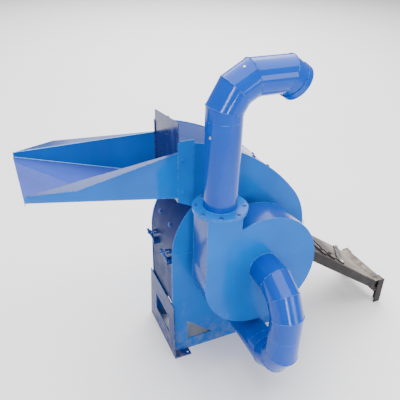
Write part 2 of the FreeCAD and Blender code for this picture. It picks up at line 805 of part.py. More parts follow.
def gate_guides():
    """A lip at each side of the throat in front of the gate, and a sloping sill under the gate."""
    low = S.throat_low - 4
    outline = [(0, low), (S.drum_depth, low), (S.drum_depth, S.chute_low - S.chute_roll),
               (0, S.chute_low)]
    pieces = [plate("YZ", outline, S.throat_inner - S.throat_x, S.throat_x)]
    high = S.strip_top - S.strip_round - low
    for y in (0, S.drum_depth - S.guide_wide):
        pieces.append(block((S.throat_x, y, low), S.guide_thick, S.guide_wide, high))
    return node("gate_guides", fuse(*pieces))


def gate_plate():
    """Sliding gate whose foot follows the sill and whose top edge slopes down to the far side."""
    low = S.chute_low + S.gate_lift
    near, far = S.gate_side, S.drum_depth - S.gate_side
    outline = [(near, low), (far, low - S.chute_roll), (far, S.gate_top_far), (near, S.gate_top_near)]
    x = S.throat_x + S.guide_thick + 1
    blank = plate("YZ", outline, S.gate_thick, x)
    hole = rod((x, S.gate_hole_y, S.gate_hole_z), "X", S.gate_hole, S.gate_thick)
    return node("gate_plate", cut(blank, hole))


# Feed chute ----------------------------------------------------------------------------------

def chute_place(x, y):
    """A point on the chute's floor, which rises outwards and rolls down to the far side."""
    along = (S.throat_x - x) / (S.throat_x - S.chute_end)
    height = S.chute_low + S.chute_rise * along - S.chute_roll * (y / S.drum_depth)
    return (x, y, height)


NEAR_EDGE = ((S.throat_x, as_size(0)), (S.chute_end, -S.spread_near))
FAR_EDGE = ((S.throat_x, S.drum_depth), (S.chute_end, S.drum_depth + S.spread_far))


def chute_floor():
    wall = float(S.chute_sheet)
    near = [chute_place(x, y - S.chute_sheet) for x, y in NEAR_EDGE]
    far = [chute_place(x, y + S.chute_sheet) for x, y in FAR_EDGE]
    floor = slab([near[0], near[1], far[1], far[0]], V(0, 0, -wall)).Shape
    fold_foot = [(x, y, z - S.chute_fold) for x, y, z in (far[1], near[1])]
    fold = slab([near[1], far[1]] + fold_foot, V(-wall, 0, 0)).Shape
    return node("chute_floor", solid(floor.fuse(fold).removeSplitter()))


def chute_wall(label, edge, side, high_in, high_out):
    """Side wall that grows taller towards the throat, with a level lip folded outwards. The lip is
    widest near the mouth and is clipped to a point at the outer corner."""
    wall = float(S.chute_sheet)
    foot_in, foot_out = [chute_place(x, y) for x, y in edge]
    top_in = offset(foot_in, (0, 0, 1), high_in)
    top_out = offset(foot_out, (0, 0, 1), high_out)
    roll = float(S.chute_roll / S.drum_depth)
    sheet_part = slab([foot_in, foot_out, top_out, top_in], V(0, side, -side * roll) * wall).Shape
    widest = [a + (b - a) * S.lip_place for a, b in zip(top_in, top_out)]
    lip = slab([top_in, top_out, offset(widest, (0, side, 0), S.lip_wide),
                offset(top_in, (0, side, 0), S.lip_in)], V(0, 0, -wall)).Shape
    return node(label, solid(sheet_part.fuse(lip).removeSplitter()))


# Hinge and latches ---------------------------------------------------------------------------

def knuckles(label, starts, leaf_low):
    pieces = []
    for y in starts:
        barrel = rod((S.hinge_x, y, S.axis_height), "Y", S.knuckle_radius, 48)
        leaf = block((RIM, y, leaf_low), S.hinge_x - RIM, 48, 8)
        bore = rod((S.hinge_x, y, S.axis_height), "Y", S.hinge_pin_radius + S.running_gap, 48)
        pieces.append(cut(fuse(barrel, leaf), bore))
    return node(label, group(*pieces))


def hinge():
    knuckles("hinge_base_knuckles", (30, 224), S.axis_height - S.knuckle_radius)
    knuckles("hinge_cover_knuckles", (79, 174), S.axis_height + S.knuckle_radius - 8)
    node("hinge_pin", fuse(rod((S.hinge_x, 26, S.axis_height), "Y", S.hinge_pin_radius, 250),
                           rod((S.hinge_x, 20, S.axis_height), "Y", S.hinge_pin_radius + 3, 6)))


LATCHES = ("front", "back")


def latch_y(name):
    return size("latch_" + name)


def latch_ears():
    """Ears and cross pins on the lower rim that carry the swing bolts."""
    pieces = []
    for y in map(latch_y, LATCHES):
        for low in (y - 15, y + 9):
            pieces.append(block((S.latch_x - 10, low, S.latch_z - 12), -RIM - S.latch_x + 10, 6, 24))
        pieces.append(rod((S.latch_x, y - 17, S.latch_z), "Y", S.latch_pin, 34))
    return node("latch_ears", fuse(*pieces))


def latch_tabs():
    """Slotted tabs on the cover that the swing bolts drop into."""
    tabs = []
    slot_half = S.latch_shank + 1
    for y in map(latch_y, LATCHES):
        tab = block((S.latch_x - 9, y - S.tab_half, S.tab_low), -RIM - S.latch_x + 9,
                    S.tab_half * 2, S.tab_thick)
        slot = block((S.latch_x - 9, y - slot_half, S.tab_low), 17, slot_half * 2, S.tab_thick)
        tabs.append(cut(tab, slot))
    return node("latch_tabs", group(*tabs))


def swing_bolt(name):
    """Eye bolt with a nut, leaning outwards, clear of its slot."""
    y = latch_y(name)
    lean = math.radians(float(S.latch_lean))
    way = (-math.sin(lean), 0, math.cos(lean))
    pivot = (S.latch_x, y, S.latch_z)
    eye = rod((S.latch_x, y - 8, S.latch_z), "Y", 10, 16)
    shank = rod(pivot, V(*way), S.latch_shank, 86)
    bore = rod((S.latch_x, y - 8, S.latch_z), "Y", S.latch_pin + S.running_gap, 16)
    nut = hexagon(offset(pivot, way, 59), V(*way), 11.5, 11)
    return node("swing_bolt_" + name, fuse(cut(fuse(eye, shank), bore), nut))


# Motor frame ---------------------------------------------------------------------------------

SLOPE_RUN = float(S.frame_end - S.beam_wide - S.frame_x)
SLOPE = math.degrees(math.atan2(float(S.frame_top - S.frame_end_top), SLOPE_RUN))
TILT = FreeCAD.Rotation(V(0, 1, 0), SLOPE)


def frame_block(along, across, up, long, deep, high):
    """A block given in the sloping frame's own directions: along the slope, across, and up from it."""
    corner = TILT.multVec(V(float(along), 0, float(up)))
    at = (S.frame_x + corner.x, across, S.frame_top + corner.z)
    return block(at, long, deep, high, TILT)


def frame_rod(along, across, up, radius, length, sides=0):
    corner = TILT.multVec(V(float(along), 0, float(up)))
    at = (S.frame_x + corner.x, across, S.frame_top + corner.z)
    way = TILT.multVec(V(0, 0, 1))
    return hexagon(at, way, radius, length) if sides else rod(at, way, radius, length)


def side_rails():
    """Two channels that slope down from the mill, cut upright at both ends."""
    long = 760
    rails = []
    for web_y, flange_y in ((S.frame_front, S.frame_front),
                            (S.frame_back - S.rail_wall, S.frame_back - S.rail_wide)):
        web = frame_block(-60, web_y, -S.rail_deep, long + 60, S.rail_wall, S.rail_deep)
        upper = frame_block(-60, flange_y, -S.rail_wall, long + 60, S.rail_wide, S.rail_wall)
        lower = frame_block(-60, flange_y, -S.rail_deep, long + 60, S.rail_wide, S.rail_wall)
        rail = fuse(web, upper, lower)
        window = block((S.frame_x, S.frame_front - 5, 60), S.frame_end - S.beam_wide - S.frame_x, 400, 600)
        rails.append(common(rail, window))
    return node("motor_side_rails", group(*rails))


def motor_frame():
    deep = S.frame_back - S.frame_front
    mount = block((S.drum_radius, S.frame_front, 420), S.frame_x - S.drum_radius, deep + 30, 140)
    node("motor_mount_plate", mount)
    side_rails()
    x0 = S.frame_end - S.beam_wide
    low = S.frame_end_top - S.beam_deep
    web = block((S.frame_end - S.rail_wall, S.frame_front, low), S.rail_wall, deep, S.beam_deep)
    top = block((x0, S.frame_front, S.frame_end_top - S.rail_wall), S.beam_wide, deep, S.rail_wall)
    bottom = block((x0, S.frame_front, low), S.beam_wide, deep, S.rail_wall)
    node("motor_outer_beam", fuse(web, top, bottom))
    legs = []
    for y, flange_y in ((S.frame_front - 6, S.frame_front), (S.frame_back, S.frame_back - 40)):
        face = block((S.frame_end - 33, y, 0), 45, 6, S.frame_end_top + 2)
        back = block((S.frame_end, flange_y, 0), 6, 40, S.frame_end_top + 2)
        legs.append(fuse(face, back))
    node("motor_frame_legs", group(*legs))


BAR_PLACES = (112, 192)
BAR_TRAVEL = 30


def motor_deck():
    """Sheet over the rails, with slots for the motor bars' bolts."""
    deep = S.frame_back - S.frame_front
    deck = frame_block(16, S.frame_front, 0, 600, deep, 4)
    slots = []
    for along in BAR_PLACES:
        for across in (S.frame_front + 60, S.frame_back - 60):
            start = along + 20 - BAR_TRAVEL
            slots.append(frame_block(start - 7, across - 7, 0, BAR_TRAVEL * 2 + 14, 14, 4))
    return node("motor_deck", cut(deck, *slots))


def motor_diagonal():
    """Flat bar across the deck, from the near rail out to the far rail."""
    start, end = V(286, float(S.frame_front) + 22, 0), V(560, float(S.frame_back) - 22, 0)
    along = (end - start).normalize()
    side = V(-along.y, along.x, 0) * 22
    points = [start - side, end - side, end + side, start + side]
    face = Part.Face(Part.makePolygon(points + points[:1]))
    bar = solid(face.extrude(V(0, 0, 8)))
    lift = TILT.multVec(V(0, 0, 4))
    bar.Placement = FreeCAD.Placement(V(float(S.frame_x) + lift.x, 0, float(S.frame_top) + lift.z), TILT)
    return node("motor_diagonal", bar)


def motor_frame_bolts():
    """Bolt heads on the diagonal and on the mounting plate."""
    heads = []
    for along, across in ((286, S.frame_front + 22), (545, S.frame_back - 30), (566, S.frame_back - 12)):
        heads.append(frame_rod(along, across, 12, 12, 9, sides=6))
    for y in (20, 135, 245):
        heads.append(hexagon((S.frame_x, y, 432), "X", 12, 9))
    for y in (110, 165):
        heads.append(hexagon((S.frame_x, y, 545), "X", 9, 7))
    return node("motor_frame_bolts", group(*heads))


def motor_bars():
    """Two flat bars that the motor's feet sit on, bolted through the deck's slots."""
    pieces = []
    for along in BAR_PLACES:
        bar = frame_block(along, S.frame_front + 20, 4.1, 40, S.frame_back - S.frame_front - 40, 10)
        parts = [bar]
        for across in (S.frame_front + 60, S.frame_back - 60):
            parts.append(frame_rod(along + 20, across, -9, 5, 30))
            parts.append(frame_rod(along + 20, across, 14.1, 10, 8, sides=6))
            parts.append(frame_rod(along + 20, across, -8.1, 10, 8, sides=6))
        pieces.append(fuse(*parts))
    return node("motor_bars", group(*pieces))


# Assembly ------------------------------------------------------------------------------------

lower_plate("lower_front_plate", S.plate, True)
lower_plate("lower_back_plate", S.drum_depth, False)
lower_rim_sheets()
stand_side_panels()
foot_plates()
collector_funnel()
screen()
screen_seats()
blower_casing()
blower_standoffs()
flange_ring("outlet_flange", S.outlet_top, S.pipe_radius - S.pipe_wall)
flange_ring("pipe_flange", S.outlet_top + S.flange_thick, S.pipe_radius)
flange_bolts()
discharge_pipes()
suction_pipes()
bearings()
shaft()
rotor_discs()
hammer_pins()
for number, degrees in enumerate(PIN_ANGLES, start=1):
    hammer_row("hammer_row_%d" % number, degrees)
impeller()
pulley()
cover_plate("cover_front_plate", 0)
cover_plate("cover_back_plate", S.drum_depth - S.plate)
cover_rim_and_liner()
liner_bolts()
throat_sheets()
throat_strips()
gate_guides()
gate_plate()
chute_floor()
chute_wall("chute_near_wall", NEAR_EDGE, -1, S.near_wall_in, S.near_wall_out)
chute_wall("chute_far_wall", FAR_EDGE, 1, S.far_wall_in, S.far_wall_out)
hinge()
latch_ears()
latch_tabs()
for name in LATCHES:
    swing_bolt(name)
motor_frame()
motor_deck()
motor_diagonal()
motor_frame_bolts()
motor_bars()

doc.recompute()

for obj in doc.Objects:
    if "Invalid" in obj.State or "Error" in obj.State:
        raise RuntimeError("%s (%s) failed: %s" % (obj.Name, obj.Label, obj.State))
for obj in NODES:
    if obj.Shape.isNull() or not obj.Shape.isValid() or not obj.Shape.Solids:
        raise RuntimeError("%s has no valid solid" % obj.Label)

os.makedirs("parts", exist_ok=True)
for obj in NODES:
    obj.Shape.exportStep("parts/%s.step" % obj.Label)
print("%d nodes written" % len(NODES))
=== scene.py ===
import json
import math

import bmesh
import bpy
from mathutils import Matrix, Vector


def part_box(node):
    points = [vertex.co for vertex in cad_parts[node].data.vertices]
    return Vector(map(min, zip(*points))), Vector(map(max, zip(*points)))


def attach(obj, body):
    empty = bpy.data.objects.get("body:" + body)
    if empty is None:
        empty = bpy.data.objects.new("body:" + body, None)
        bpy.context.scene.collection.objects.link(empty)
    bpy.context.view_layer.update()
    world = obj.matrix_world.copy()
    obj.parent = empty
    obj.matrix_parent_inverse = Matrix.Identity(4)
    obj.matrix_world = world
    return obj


# Hammer mill in metres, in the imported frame: X right, Y back, Z up from the floor.

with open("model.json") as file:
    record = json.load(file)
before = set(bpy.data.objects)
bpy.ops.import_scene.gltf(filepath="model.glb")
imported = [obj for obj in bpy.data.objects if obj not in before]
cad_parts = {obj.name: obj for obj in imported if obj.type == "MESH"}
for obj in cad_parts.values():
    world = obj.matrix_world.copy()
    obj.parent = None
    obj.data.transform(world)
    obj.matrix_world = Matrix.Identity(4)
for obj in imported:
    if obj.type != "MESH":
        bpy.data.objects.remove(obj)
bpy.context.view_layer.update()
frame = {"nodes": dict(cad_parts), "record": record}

UP = Vector((0, 0, 1))
SIDEWAYS = Vector((0, 1, 0))


# Materials ---------------------------------------------------------------------------------

class Nodes:
    """A material whose colour, roughness and relief come from nodes on object coordinates."""

    def __init__(self, name):
        self.material = bpy.data.materials.new(name)
        self.material.use_nodes = True
        self.tree = self.material.node_tree
        self.tree.nodes.clear()
        self.place = self.add("ShaderNodeTexCoord").outputs["Object"]

    def add(self, kind, inputs=None, **settings):
        made = self.tree.nodes.new(kind)
        for key, value in settings.items():
            setattr(made, key, value)
        for key, value in (inputs or {}).items():
            if isinstance(value, bpy.types.NodeSocket):
                self.tree.links.new(value, made.inputs[key])
            else:
                made.inputs[key].default_value = value
        return made

    def noise(self, scale, detail=4.0, rough=0.55, stretch=(1, 1, 1)):
        place = self.place
        if stretch != (1, 1, 1):
            place = self.add("ShaderNodeMapping", {"Vector": place, "Scale": stretch}).outputs[0]
        return self.add("ShaderNodeTexNoise", {"Vector": place, "Scale": scale, "Detail": detail,
                                               "Roughness": rough}).outputs[0]

    def ramp(self, factor, low, high, start=0.0, end=1.0):
        return self.add("ShaderNodeMapRange", {"Value": factor, "From Min": low, "From Max": high,
                                               "To Min": start, "To Max": end}).outputs[0]

    def math(self, operation, a, b):
        return self.add("ShaderNodeMath", {0: a, 1: b}, operation=operation).outputs[0]

    def mix(self, factor, first, second):
        made = self.add("ShaderNodeMix", data_type="RGBA")
        for name, value in (("Factor_Float", factor), ("A_Color", first), ("B_Color", second)):
            socket = next(s for s in made.inputs if s.identifier == name)
            if isinstance(value, bpy.types.NodeSocket):
                self.tree.links.new(value, socket)
            else:
                socket.default_value = value
        return next(s for s in made.outputs if s.identifier == "Result_Color")

    def edges(self, radius):
        """1 along sharp outer and inner edges, 0 on open faces."""
        soft = self.add("ShaderNodeBevel", {"Radius": radius}, samples=4).outputs[0]
        true = self.add("ShaderNodeNewGeometry").outputs["Normal"]
        dot = self.add("ShaderNodeVectorMath", {0: soft, 1: true}, operation="DOT_PRODUCT")
        return self.ramp(dot.outputs["Value"], 0.995, 0.86)

    def relief(self, layers, radius=None):
        """Stacks (height, strength, depth) layers of relief, over edges rounded to radius."""
        normal = None
        if radius:
            normal = self.add("ShaderNodeBevel", {"Radius": radius}, samples=4).outputs[0]
        for height, strength, depth in layers:
            inputs = {"Height": height, "Strength": strength, "Distance": depth}
            if normal:
                inputs["Normal"] = normal
            normal = self.add("ShaderNodeBump", inputs).outputs[0]
        return normal

    def finish(self, colour, roughness, normal, **fixed):
        shader = self.add("ShaderNodeBsdfPrincipled", {"Base Color": colour, "Roughness": roughness,
                                                       "Normal": normal, **fixed})
        self.add("ShaderNodeOutputMaterial", {"Surface": shader.outputs[0]})
        return self.material


def rgb(red, green, blue):
    return (red, green, blue, 1.0)


SPLASH_HEIGHT = 0.22
EDGE_ROUND = 0.0016
PALE_DUST = rgb(0.30, 0.25, 0.21)
LOOKS_UP = (0.55, 0.85)


def enamel(name, deep, bright, dust=0.25, gloss=0.16, worn=0.85, coat=0.12,
           shine=0.22, top=0.0):
    """Sprayed gloss enamel: cloudy colour, dust, floor splashes, chipped edges with a painted
    highlight.

    dust, worn and top are the strengths of the smears, of the chipped edges with their painted
    highlight and of the painted shade on faces that look up; gloss is the roughness; coat and shine
    are the reflections.
    """
    n = Nodes(name)
    cloud = n.ramp(n.noise(2.3, 3.0), 0.35, 0.65)
    colour = n.mix(cloud, rgb(*deep), rgb(*bright))
    speck = n.ramp(n.noise(240.0, 2.0), 0.62, 0.72, 0.0, 0.05)
    colour = n.mix(speck, colour, rgb(0.25, 0.50, 0.90))
    smear = n.ramp(n.noise(9.0, 8.0, 0.7, (1, 1, 0.35)), 0.52, 0.78, 0.0, dust)
    colour = n.mix(smear, colour, rgb(0.06, 0.12, 0.38))
    height = n.add("ShaderNodeSeparateXYZ", {"Vector": n.place}).outputs["Z"]
    low_down = n.ramp(height, SPLASH_HEIGHT, 0.0, 0.0, 0.5)
    splash = n.math("MULTIPLY", low_down, n.ramp(n.noise(26.0, 7.0), 0.40, 0.66))
    colour = n.mix(splash, colour, rgb(0.22, 0.20, 0.20))
    # Painted shade: faces that look up are darkened towards violet-blue, by the strength top.
    if top:
        normal = n.add("ShaderNodeNewGeometry").outputs["Normal"]
        level = n.add("ShaderNodeSeparateXYZ", {"Vector": normal}).outputs["Z"]
        painted_top_shade = n.ramp(level, *LOOKS_UP, 0.0, top)
        colour = n.mix(painted_top_shade, colour, rgb(0.030, 0.030, 0.12))
    # Edges lightened to pale blue: chipped paint, and also a painted edge highlight and glint.
    wear = n.math("MULTIPLY", n.edges(0.0022), n.ramp(n.noise(75.0, 5.0), 0.44, 0.60, 0.0, worn))
    colour = n.mix(wear, colour, rgb(0.20, 0.45, 0.80))
    rough = n.ramp(n.noise(14.0, 5.0), 0.3, 0.75, gloss, gloss * 1.7)
    rough = n.math("ADD", rough, n.math("MULTIPLY", smear, 0.5))
    waves = (n.noise(5.5, 2.0), 0.35, 0.004)
    orange_peel = (n.noise(420.0, 2.0), 0.12, 0.0004)
    return n.finish(colour, rough, n.relief([waves, orange_peel], EDGE_ROUND),
                    **{"Coat Weight": coat, "Coat Roughness": 0.05, "Specular IOR Level": shine})


def dust_and_lit_top(n, colour, amount):
    """Pale dust and worn paint, and a painted top light, on the faces that look up."""
    normal = n.add("ShaderNodeNewGeometry").outputs["Normal"]
    level = n.ramp(n.add("ShaderNodeSeparateXYZ", {"Vector": normal}).outputs["Z"], *LOOKS_UP)
    patchy = n.math("MULTIPLY", level, n.ramp(n.noise(12.0, 7.0, 0.7), 0.35, 0.60, 0.15, amount))
    return n.mix(patchy, colour, PALE_DUST)


def dark_paint(name, dust=0.25):
    """Satin near-black brown paint, scuffed to primer, a little rust, pale dust and light painted
    on top.
    """
    n = Nodes(name)
    cloud = n.ramp(n.noise(6.0), 0.35, 0.65)
    colour = n.mix(cloud, rgb(0.007, 0.005, 0.007), rgb(0.018, 0.013, 0.015))
    rust = n.ramp(n.noise(30.0, 8.0, 0.7), 0.60, 0.72, 0.0, 0.6)
    colour = n.mix(rust, colour, rgb(0.055, 0.030, 0.020))
    wear = n.math("MULTIPLY", n.edges(0.003), n.ramp(n.noise(60.0, 5.0), 0.45, 0.6, 0.0, 0.8))
    colour = dust_and_lit_top(n, n.mix(wear, colour, rgb(0.12, 0.10, 0.09)), dust)
    normal = n.relief([(n.noise(150.0, 5.0), 0.35, 0.0006)], EDGE_ROUND)
    return n.finish(colour, n.ramp(n.noise(18.0), 0.3, 0.7, 0.38, 0.62), normal,
                    **{"Specular IOR Level": 0.25})


DECK_FADE = (0.80, 0.58)


def pale_paint(name):
    """Dusty paint on the motor deck, dark beside the mill and worn pale towards the outer end."""
    n = Nodes(name)
    cloud = n.ramp(n.noise(4.0, 6.0, 0.65), 0.32, 0.68)
    colour = n.mix(cloud, rgb(0.16, 0.13, 0.11), PALE_DUST)
    outwards = n.add("ShaderNodeSeparateXYZ", {"Vector": n.place}).outputs["X"]
    ragged = n.math("ADD", outwards, n.ramp(n.noise(9.0, 6.0), 0.3, 0.7, -0.09, 0.09))
    colour = n.mix(n.ramp(ragged, *DECK_FADE), colour, rgb(0.035, 0.028, 0.027))
    stain = n.ramp(n.noise(22.0, 9.0, 0.75), 0.55, 0.72, 0.0, 0.7)
    colour = n.mix(stain, colour, rgb(0.05, 0.035, 0.03))
    scratch = n.ramp(n.noise(60.0, 3.0, 0.5, (0.25, 1, 1)), 0.66, 0.70, 0.0, 0.5)
    colour = n.mix(scratch, colour, rgb(0.34, 0.30, 0.27))
    wear = n.math("MULTIPLY", n.edges(0.003), n.ramp(n.noise(60.0, 5.0), 0.42, 0.6, 0.0, 0.8))
    colour = n.mix(wear, colour, rgb(0.10, 0.07, 0.055))
    normal = n.relief([(n.noise(110.0, 6.0), 0.4, 0.0006), (n.noise(7.0), 0.3, 0.003)], 0.0014)
    return n.finish(colour, n.ramp(n.noise(20.0), 0.3, 0.7, 0.45, 0.75), normal,
                    **{"Specular IOR Level": 0.3})


def metal(name, dark, light, rough_low, rough_high, rust=0.0, brushed=(1, 1, 1), grain=300.0):
    """Bare or plated metal with fine grain, cloudy dark and light tone and optional rust."""
    n = Nodes(name)
    colour = n.mix(n.ramp(n.noise(35.0, 6.0, 0.6), 0.32, 0.68), rgb(*dark), rgb(*light))
    if rust:
        spots = n.ramp(n.noise(28.0, 10.0, 0.75), 0.55, 0.70, 0.0, rust)
        colour = n.mix(spots, colour, rgb(0.20, 0.08, 0.035))
    wear = n.math("MULTIPLY", n.edges(0.0012), 0.6)
    colour = n.mix(wear, colour, rgb(0.80, 0.80, 0.80))
    rough = n.ramp(n.noise(60.0, 6.0), 0.3, 0.7, rough_low, rough_high)
    normal = n.relief([(n.noise(grain, 4.0, 0.5, brushed), 0.25, 0.0003)], 0.0008)
    return n.finish(colour, rough, normal, Metallic=0.9)


BLUE = enamel("mill_blue", (0.0004, 0.100, 0.42), (0.0004, 0.135, 0.54), coat=0.05, shine=0.10)
BLUE_PIPE = enamel("pipe_blue", (0.0004, 0.045, 0.33), (0.0006, 0.066, 0.43), 0.2, 0.07)
# Blower scroll: the blue enamel darkened, a painted shade for its top and side walls.
BLUE_SCROLL_SHADED = enamel("scroll_blue_painted_shade", (0.003, 0.040, 0.26), (0.006, 0.060, 0.34), 0.3, 0.14,
                     coat=0.1, shine=0.1)
# Stand: the blue enamel darkened, a painted shade on its side panels, with extra dust.
BLUE_STAND_SHADED = enamel("mill_blue_stand_painted_shade", (0.004, 0.020, 0.14), (0.006, 0.028, 0.19), 0.45,
                    coat=0.0, shine=0.05)
# Rim sheets: the blue enamel darkened to violet, a painted shade for faces turned from the light.
BLUE_RIM_SHADED = enamel("rim_blue_painted_shade", (0.008, 0.020, 0.11), (0.012, 0.028, 0.15), 0.3, 0.3,
                  coat=0.0, shine=0.06)
# Chute walls: top=0.75 paints shade onto their up-facing lips.
BLUE_WALL = enamel("chute_wall_blue", (0.0006, 0.100, 0.42), (0.0006, 0.135, 0.54), 0.25, 0.12,
                   shine=0.12, top=0.75)
# Gate: the blue enamel darkened to slate violet, a painted shade for its left-facing side.
BLUE_GATE_SHADED = enamel("mill_blue_gate_painted_shade", (0.020, 0.026, 0.12), (0.040, 0.046, 0.19), 0.5)
# Chute floor: the blue enamel tinted violet, a painted shade and reflection, under a strong clear
# coat.
BLUE_CHUTE_SHADED = enamel("mill_blue_chute_painted_shade", (0.040, 0.070, 0.34), (0.060, 0.095, 0.44), 0.3, 0.06,
                    coat=0.7)
# Crease beads: the blue enamel lightened to pale blue, a painted highlight along creases and lip.
BLUE_CREASE_HIGHLIGHT = enamel("crease_blue_painted_highlight", (0.12, 0.38, 0.78), (0.20, 0.50, 0.88), 0.1)
# Bolt heads: blue paint; worn=1.0 lightens their edges as chipped paint and painted glints.
BLUE_BOLT = enamel("bolt_blue", (0.004, 0.030, 0.20), (0.010, 0.060, 0.34), 0.3, 0.22, 1.0)
BLUE_CASTING = enamel("casting_blue", (0.005, 0.070, 0.30), (0.010, 0.110, 0.42), 0.4)
DARK = dark_paint("frame_dark")
# Outer beam: pale dust and painted top light at strength 0.95.
DARK_DUSTY_LIT_TOP = dark_paint("frame_dusty_lit_top", 0.95)
PALE = pale_paint("deck_pale")
ZINC = metal("bolt_zinc", (0.42, 0.43, 0.45), (0.62, 0.62, 0.63), 0.25, 0.45, 0.15)
TOOL = metal("tool_steel", (0.16, 0.16, 0.165), (0.30, 0.295, 0.29), 0.35, 0.6, 0.5)
BRIGHT = metal("turned_steel", (0.52, 0.52, 0.53), (0.70, 0.70, 0.71), 0.18, 0.32, 0.0,
               (1, 12, 1))
IRON = metal("pulley_iron", (0.10, 0.10, 0.105), (0.19, 0.19, 0.19), 0.35, 0.55, 0.3,
             (1, 9, 1), 160.0)

SLOT_LOOKS = {"blue_enamel": BLUE, "frame_paint": DARK, "deck_paint": PALE, "zinc_bolts": ZINC,
              "tool_steel": TOOL, "bright_steel": BRIGHT, "pulley_iron": IRON,
              "bearing_iron": BLUE_CASTING}

# Nodes that look different from the rest of their slot.
LOOK_GROUPS = (
    (BLUE_STAND_SHADED, ("stand_side_panels", "foot_plates", "screen_seats", "latch_ears",
                  "latch_tabs")),
    (BLUE_RIM_SHADED, ("lower_rim_sheets", "cover_rim")),
    (BLUE_GATE_SHADED, ("gate_plate", "gate_guides")),
    (BLUE_CHUTE_SHADED, ("chute_floor",)),
    (BLUE_WALL, ("chute_near_wall", "chute_far_wall", "throat_sheets")),
    (BLUE_SCROLL_SHADED, ("blower_scroll",)),
    (BLUE_BOLT, ("flange_bolts", "liner_bolts", "swing_bolt_front", "swing_bolt_back")),
    (BLUE_PIPE, ("discharge_pipe", "discharge_elbow", "spout_ring", "suction_top_bend",
                 "suction_bottom_bend", "suction_return_leg")),
    (DARK_DUSTY_LIT_TOP, ("motor_outer_beam",)),
    (DARK, ("motor_diagonal",)),
)
NODE_LOOKS = {node: look for look, nodes in LOOK_GROUPS for node in nodes}


def paint_frame():
    """Each CAD node gets its own look, or else the look of its material slot."""
    slots = {row["node"]: row["material_slot"] for row in frame["record"]["subparts"]}
    for name, obj in frame["nodes"].items():
        look = NODE_LOOKS.get(name, SLOT_LOOKS[slots[name]])
        for material_slot in obj.material_slots:
            material_slot.material = look


# Mesh helpers --------------------------------------------------------------------------------

SHARP_ANGLE = math.radians(38)


def piece(name, build, material, body):
    """A new mesh piece, filled by build(bmesh), that rides on a CAD body."""
    mesh = bpy.data.meshes.new(name)
    bm = bmesh.new()
    build(bm)
    bmesh.ops.recalc_face_normals(bm, faces=bm.faces)
    bm.to_mesh(mesh)
    bm.free()
    mesh.polygons.foreach_set("use_smooth", [True] * len(mesh.polygons))
    mesh.set_sharp_from_angle(angle=SHARP_ANGLE)
    mesh.materials.append(material)
    obj = bpy.data.objects.new(name, mesh)
    bpy.context.scene.collection.objects.link(obj)
    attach(obj, body)


def skin(bm, rings, closed=True, caps=False):
    """Faces between successive rings of vertices; closed joins the last ring to the first."""
    rows = [[bm.verts.new(p) for p in ring] for ring in rings]
    count = len(rows[0])
    pairs = list(zip(rows, rows[1:])) + ([(rows[-1], rows[0])] if closed else [])
    for low, high in pairs:
        for i in range(count):
            bm.faces.new((low[i], low[(i + 1) % count], high[(i + 1) % count], high[i]))
    if caps:
        bm.faces.new(rows[0][::-1])
        bm.faces.new(rows[-1])


def frame_on(axis):
    """Two directions square to axis and to each other."""
    axis = axis.normalized()
    other = UP if abs(axis.z) < 0.9 else Vector((1, 0, 0))
    first = axis.cross(other).normalized()
    return first, axis.cross(first).normalized()


def turned(bm, at, axis, profile, steps=28):
    """A solid turned about axis; profile is (distance along axis, radius) from end to end."""
    first, second = frame_on(axis)
    axis = axis.normalized()
    rings = []
    for along, radius in profile:
        centre = at + axis * along
        rings.append([centre + (first * math.cos(a) + second * math.sin(a)) * radius
                      for a in (2 * math.pi * i / steps for i in range(steps))])
    skin(bm, rings, closed=False, caps=True)


WELD_STEP = 0.0022
WELD_SIDES = 8


def weld_path(points, closed):
    """Points along straight runs, WELD_STEP apart."""
    runs = list(zip(points, points[1:])) + ([(points[-1], points[0])] if closed else [])
    out = []
    for start, end in runs:
        count = max(1, round((end - start).length / WELD_STEP))
        out += [start.lerp(end, i / count) for i in range(count)]
    return out if closed else out + [points[-1]]


def weld(bm, points, radius, closed=False):
    """A rippled weld bead that follows the points."""
    path = weld_path(points, closed)
    count = len(path)
    rings = []
    for i, at in enumerate(path):
        after = path[(i + 1) % count] if closed else path[min(i + 1, count - 1)]
        before = path[i - 1] if closed else path[max(i - 1, 0)]
        first, second = frame_on(after - before)
        ripple = 1 + 0.13 * math.sin(i * 2.1) + 0.06 * math.sin(i * 0.37)
        taper = 1 if closed else min(1, 0.35 + 0.2 * min(i, count - 1 - i))
        rings.append([at + (first * math.cos(a) + second * math.sin(a)) * radius * ripple * taper
                      for a in (2 * math.pi * k / WELD_SIDES for k in range(WELD_SIDES))])
    skin(bm, rings, closed=closed, caps=not closed)


def circle(centre, axis, radius, steps=72):
    first, second = frame_on(axis)
    return [centre + (first * math.cos(a) + second * math.sin(a)) * radius
            for a in (2 * math.pi * i / steps for i in range(steps))]


def mitre_ring(before, at, after, radius, steps=72):
    """The ellipse where two pipes of one radius meet at a mitre."""
    come, go = (at - before).normalized(), (after - at).normalized()
    half = come.angle(go) / 2
    across = come.cross(go).normalized()
    along = (go - come).normalized()
    return [at + across * radius * math.cos(a) + along * radius * math.sin(a) / math.cos(half)
            for a in (2 * math.pi * i / steps for i in range(steps))]


def middle(node):
    low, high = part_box(node)
    return (low + high) / 2


def size_of(node):
    low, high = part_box(node)
    return high - low


# Pipes ---------------------------------------------------------------------------------------

PIPE_RADIUS = size_of("discharge_pipe").x / 2
FOLD = math.radians(30)
TOP_RUN = 0.040
MITRE_RUN = 0.082
LEVEL_RUN = 0.152
SPOUT_RUN = 0.068
SPOUT_DROP = math.radians(36)
BEAD = 0.0026
MITRE_BEAD = BEAD * 0.7
BEAD_OUTSET = 0.001


